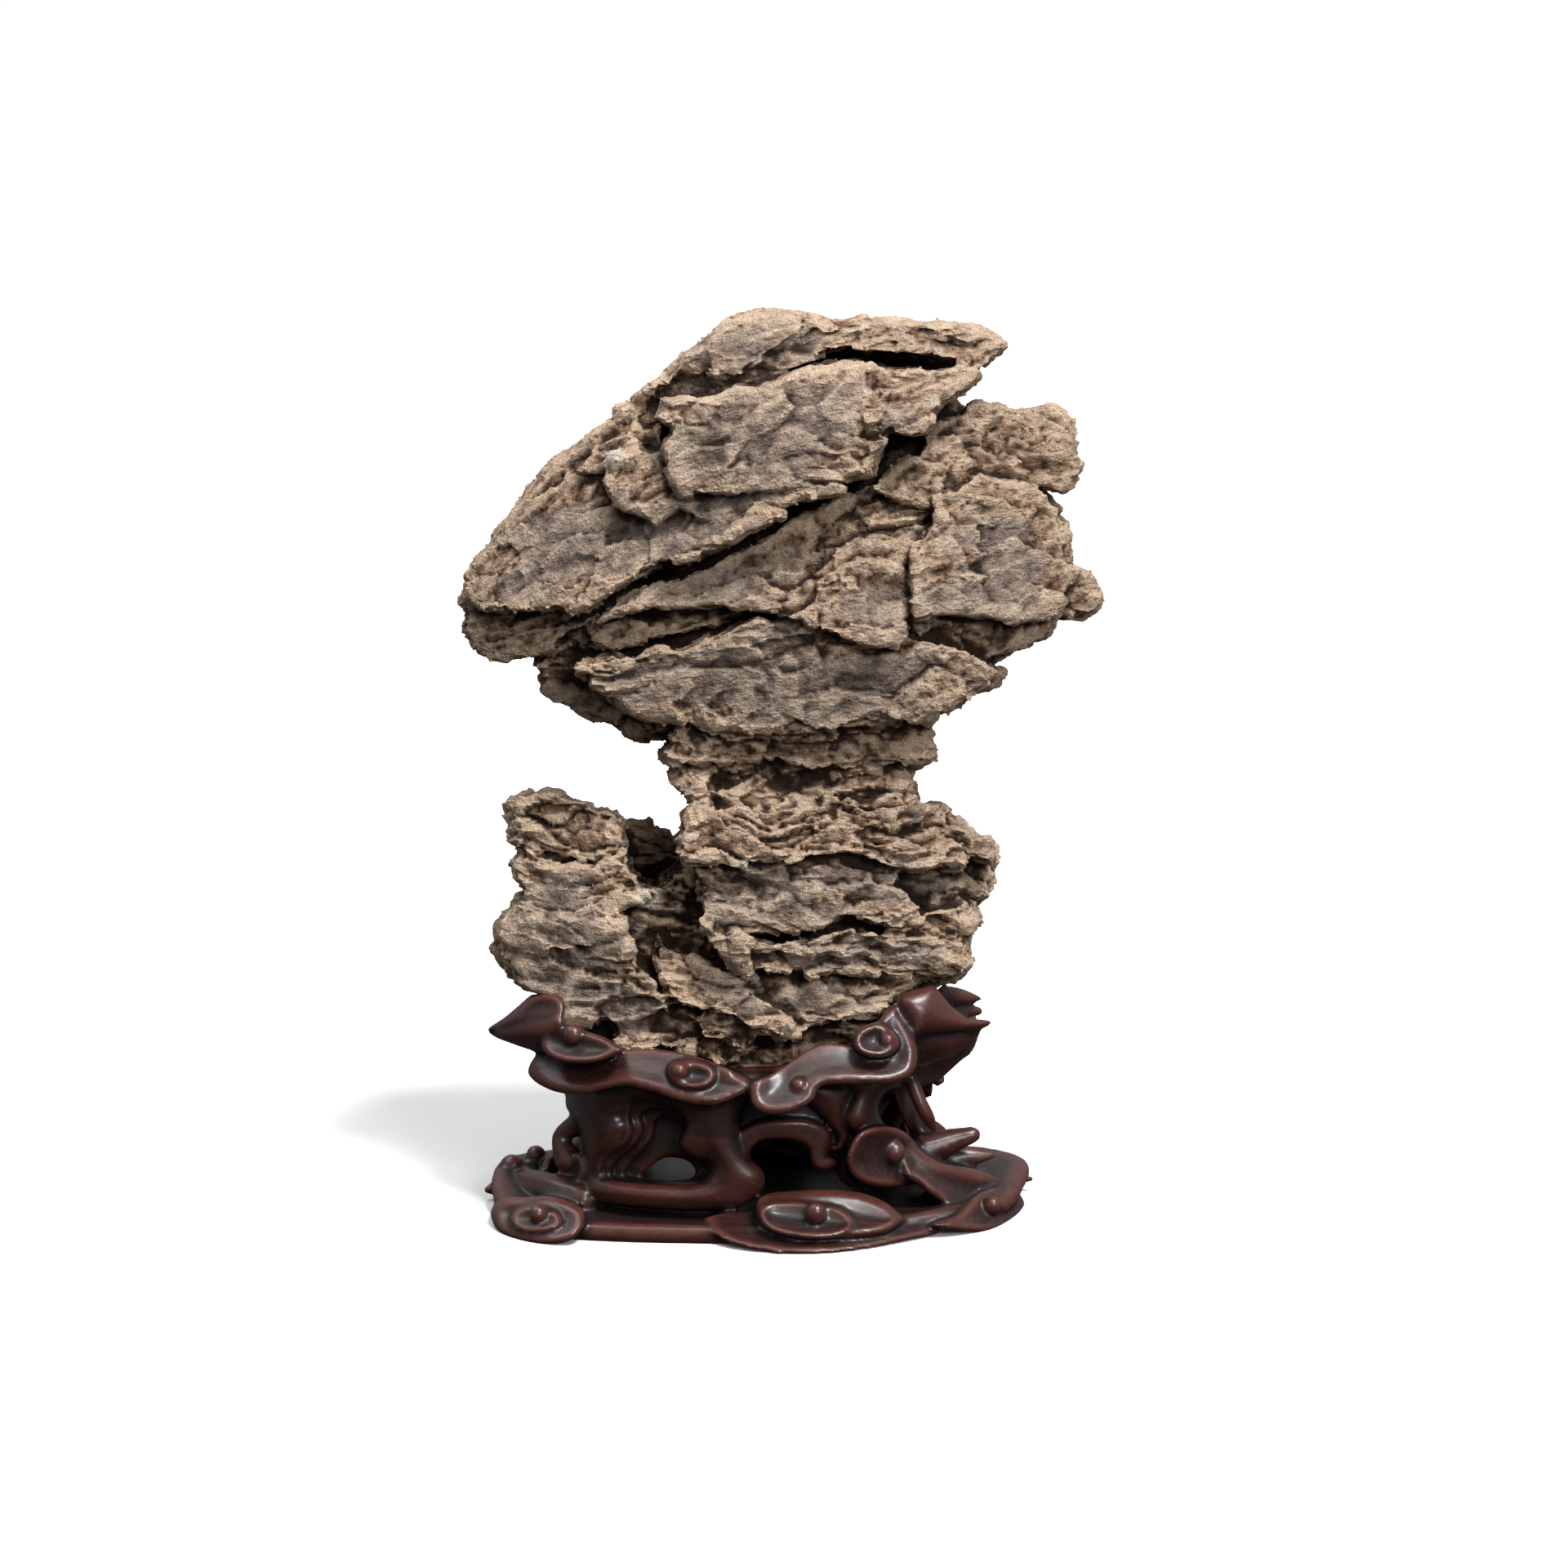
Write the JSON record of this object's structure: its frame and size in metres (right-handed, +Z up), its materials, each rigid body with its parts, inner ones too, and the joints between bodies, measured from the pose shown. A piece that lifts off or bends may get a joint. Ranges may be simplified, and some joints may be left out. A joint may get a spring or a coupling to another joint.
{
  "type": "scholar's rock on a carved wooden stand",
  "caption": "Layered natural rock with an overhanging head on a narrow neck, resting in a carved openwork hardwood stand; a desk or shelf ornament.",
  "frame": {"origin": "on the stand's flat underside, near the middle of its base", "axes": "+Z up, -Y towards the front of the rock, +X to the right as seen from the front"},
  "size_m": [0.2605, 0.1716, 0.3669],
  "materials": {
    "stone": "weathered, granular, matte, with tan crust on the bed edges",
    "stand": "dark hardwood, carved smooth, waxed, satin"
  },
  "bodies": {
    "root": {"stone": "stone", "stand": "stand"}
  },
  "joints": []
}
